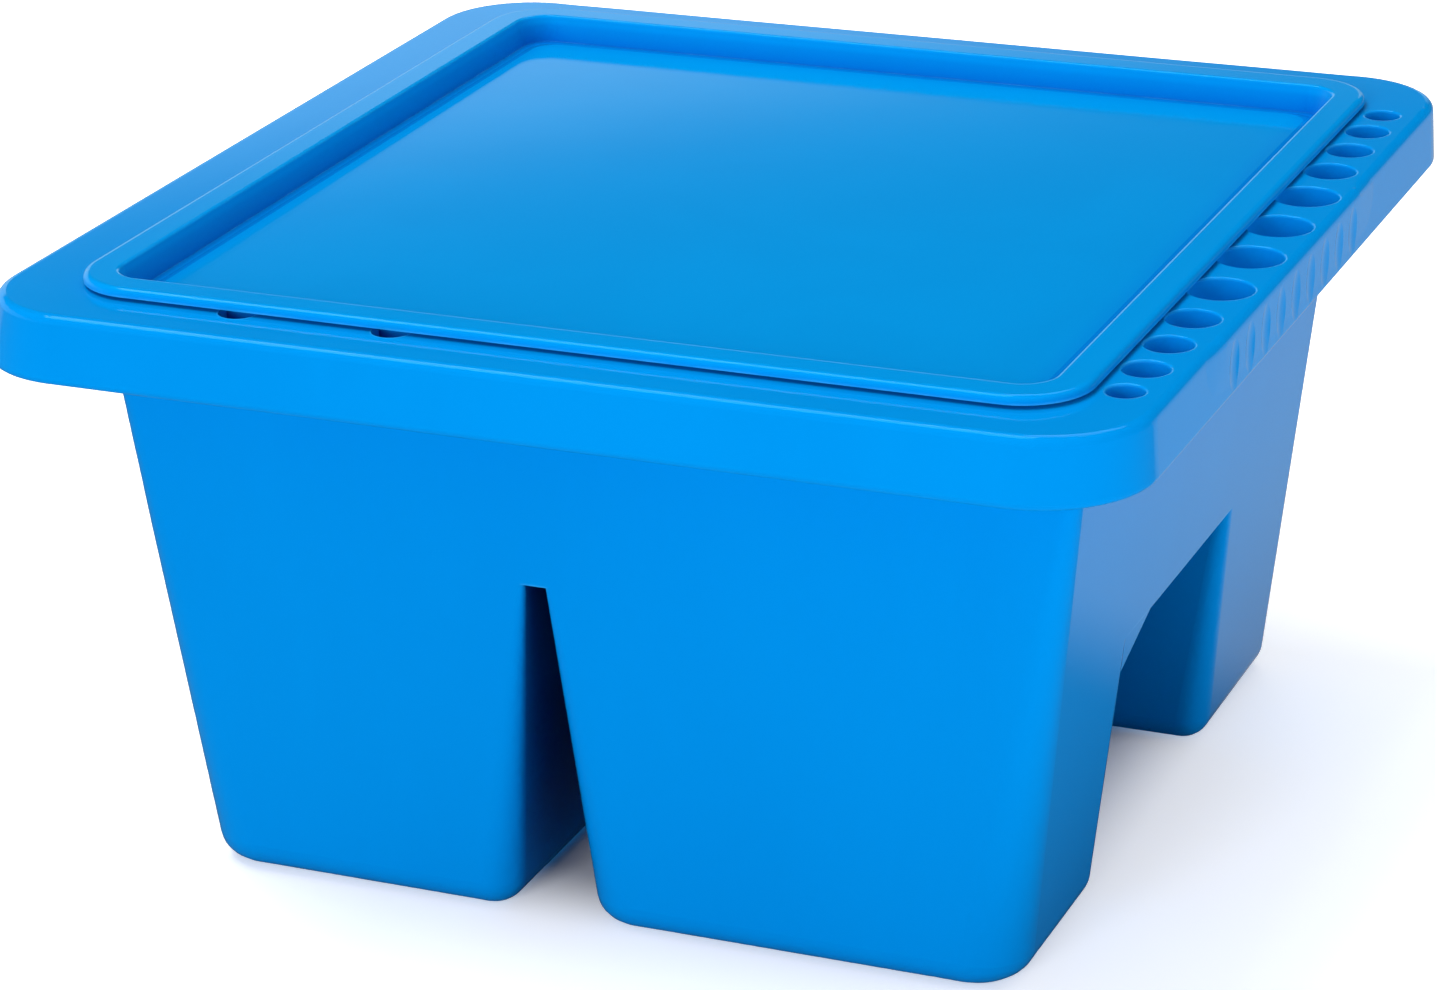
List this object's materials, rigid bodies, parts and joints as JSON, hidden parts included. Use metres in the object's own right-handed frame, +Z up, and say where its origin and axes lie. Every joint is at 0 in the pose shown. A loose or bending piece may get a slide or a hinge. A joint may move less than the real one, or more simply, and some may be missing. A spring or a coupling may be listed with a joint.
{
  "type": "brush washing tub",
  "caption": "Square tub for rinsing paint brushes, with separate wells, a row of brush holes in the rim and a lift-off palette lid.",
  "frame": {"origin": "middle of the base, on the table", "axes": "+Z up, -Y the front with the narrow notch, +X the side with the row of brush holes"},
  "size_m": [0.1634, 0.1648, 0.0901],
  "materials": {
    "tub_plastic": "semi-gloss, moulded through in one colour",
    "lid_plastic": "semi-gloss, moulded through in one colour"
  },
  "bodies": {
    "tub": {"tub": "tub_plastic"},
    "lid": {"lid": "lid_plastic"}
  },
  "joints": [
    {"name": "lid_lift", "type": "slide", "parent": "tub", "child": "lid", "axis": [0, 0, 1], "range_m": [0, 0.08]}
  ]
}
